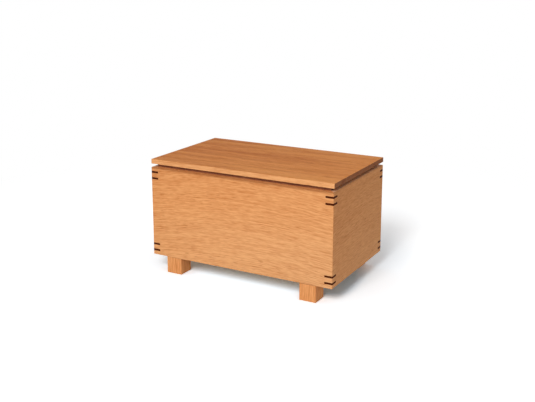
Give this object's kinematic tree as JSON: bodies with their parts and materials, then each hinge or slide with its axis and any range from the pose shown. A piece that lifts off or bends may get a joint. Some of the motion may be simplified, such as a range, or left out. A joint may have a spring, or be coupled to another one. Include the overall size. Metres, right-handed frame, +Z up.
{
  "type": "wooden tool box",
  "caption": "Rectangular wooden tool box on square feet, with mitred corners locked by dark keys, and a flat lid board that slides off sideways above a narrow gap.",
  "frame": {"origin": "on the floor, under the middle of the box and its lid", "axes": "+X along the length, the way the lid slides off; +Y from front to back; +Z up"},
  "size_m": [0.502, 0.3, 0.291],
  "materials": {
    "case_wood": "oiled satin",
    "key_dark_wood": "oiled satin",
    "slide_hardwood": "waxed",
    "screw_brass": "satin"
  },
  "bodies": {
    "case": {"back_wall": "case_wood", "bottom_panel": "case_wood", "corner_key_back_left_1": "key_dark_wood", "corner_key_back_left_2": "key_dark_wood", "corner_key_back_left_3": "key_dark_wood", "corner_key_back_left_4": "key_dark_wood", "corner_key_back_right_1": "key_dark_wood", "corner_key_back_right_2": "key_dark_wood", "corner_key_back_right_3": "key_dark_wood", "corner_key_back_right_4": "key_dark_wood", "corner_key_front_left_1": "key_dark_wood", "corner_key_front_left_2": "key_dark_wood", "corner_key_front_left_3": "key_dark_wood", "corner_key_front_left_4": "key_dark_wood", "corner_key_front_right_1": "key_dark_wood", "corner_key_front_right_2": "key_dark_wood", "corner_key_front_right_3": "key_dark_wood", "corner_key_front_right_4": "key_dark_wood", "foot_back_left": "case_wood", "foot_back_right": "case_wood", "foot_front_left": "case_wood", "foot_front_right": "case_wood", "foot_screws_back_left": "screw_brass", "foot_screws_back_right": "screw_brass", "foot_screws_front_left": "screw_brass", "foot_screws_front_right": "screw_brass", "front_wall": "case_wood", "left_wall": "case_wood", "lid_stop_strip": "slide_hardwood", "rail_screws_back": "screw_brass", "rail_screws_front": "screw_brass", "right_wall": "case_wood", "slide_rail_back": "slide_hardwood", "slide_rail_front": "slide_hardwood", "stop_screws": "screw_brass"},
    "lid": {"lid_board": "case_wood", "lid_runner_back": "slide_hardwood", "lid_runner_front": "slide_hardwood", "runner_screws_back": "screw_brass", "runner_screws_front": "screw_brass"}
  },
  "joints": [
    {"name": "lid_slide", "type": "slide", "parent": "case", "child": "lid", "axis": [1, 0, 0], "range_m": [0, 0.51]}
  ]
}
